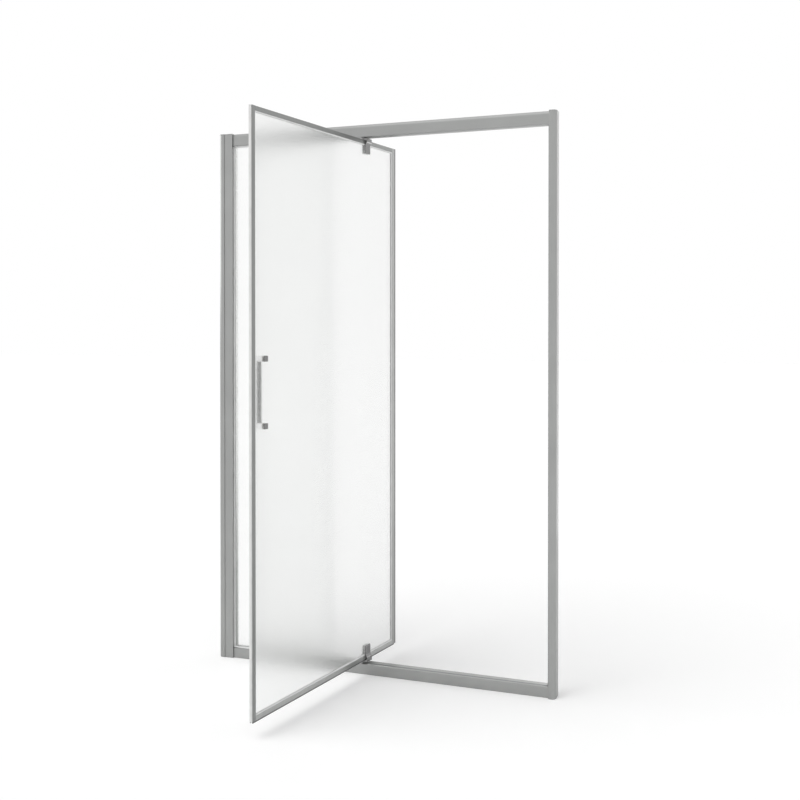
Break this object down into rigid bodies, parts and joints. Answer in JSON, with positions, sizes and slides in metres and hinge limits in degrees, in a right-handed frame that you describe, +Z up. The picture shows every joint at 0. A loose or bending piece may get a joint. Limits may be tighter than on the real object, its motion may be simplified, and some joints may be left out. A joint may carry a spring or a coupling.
{
  "type": "pivot shower door",
  "caption": "Framed pivot shower door with a frosted leaf turning on pivots set in from its end, beside a fixed frosted panel in an aluminium frame.",
  "frame": {"origin": "middle of the sill rail's underside, half-way between the walls", "axes": "+X along the opening towards the strike side, -Y towards the bathroom, +Y into the shower, +Z up"},
  "size_m": [1.2, 0.8062, 1.85],
  "materials": {
    "satin_aluminium": "satin anodised",
    "frosted_glass": "frosted",
    "glazing_rubber": "matt",
    "clear_strip": "translucent",
    "grey_strip": "matt",
    "magnet_strip": "matt",
    "dark_seal": "matt",
    "cap_plastic": "matt",
    "nylon": "matt",
    "screw_steel": "bright",
    "satin_chrome": "satin"
  },
  "bodies": {
    "root": {"bottom_rail": "satin_aluminium", "channel_fixing_screws": "screw_steel", "fixed_glass": "frosted_glass", "fixed_glass_edge_seal": "clear_strip", "fixed_glass_gasket": "glazing_rubber", "frame_corner_screws": "screw_steel", "head_infill_strip": "grey_strip", "left_top_cap": "cap_plastic", "left_upright": "satin_aluminium", "left_wall_channel": "satin_aluminium", "lower_pivot_block": "nylon", "lower_pivot_bush": "nylon", "pivot_block_screws": "screw_steel", "right_top_cap": "cap_plastic", "right_wall_channel": "satin_aluminium", "screw_cover_caps": "cap_plastic", "sill_infill_strip": "grey_strip", "strike_bumper_seal": "dark_seal", "strike_magnet": "magnet_strip", "strike_upright": "satin_aluminium", "top_rail": "satin_aluminium", "upper_pivot_block": "nylon", "upper_pivot_bush": "nylon"},
    "door": {"bracket_gaskets": "glazing_rubber", "bracket_screws": "screw_steel", "door_bottom_profile": "satin_aluminium", "door_corner_screws": "screw_steel", "door_drip_seal": "grey_strip", "door_edge_seal": "dark_seal", "door_glass": "frosted_glass", "door_glazing_gasket": "glazing_rubber", "door_handle_stile": "satin_aluminium", "door_magnet_seal": "magnet_strip", "door_pivot_stile": "satin_aluminium", "door_top_profile": "satin_aluminium", "handle_grip": "satin_chrome", "handle_screws": "screw_steel", "handle_washers": "nylon", "lower_clamp_plate": "satin_chrome", "lower_handle_cap": "satin_chrome", "lower_handle_post": "satin_chrome", "lower_pivot_bracket": "satin_chrome", "lower_pivot_pin": "screw_steel", "lower_thrust_washer": "screw_steel", "upper_clamp_plate": "satin_chrome", "upper_handle_cap": "satin_chrome", "upper_handle_post": "satin_chrome", "upper_pivot_bracket": "satin_chrome", "upper_pivot_pin": "screw_steel"}
  },
  "joints": [
    {"name": "door_swing", "type": "hinge", "parent": "root", "child": "door", "pos_m": [-0.052, 0.01, 0], "axis": [0, 0, 1], "range_deg": [-10, 100]}
  ]
}
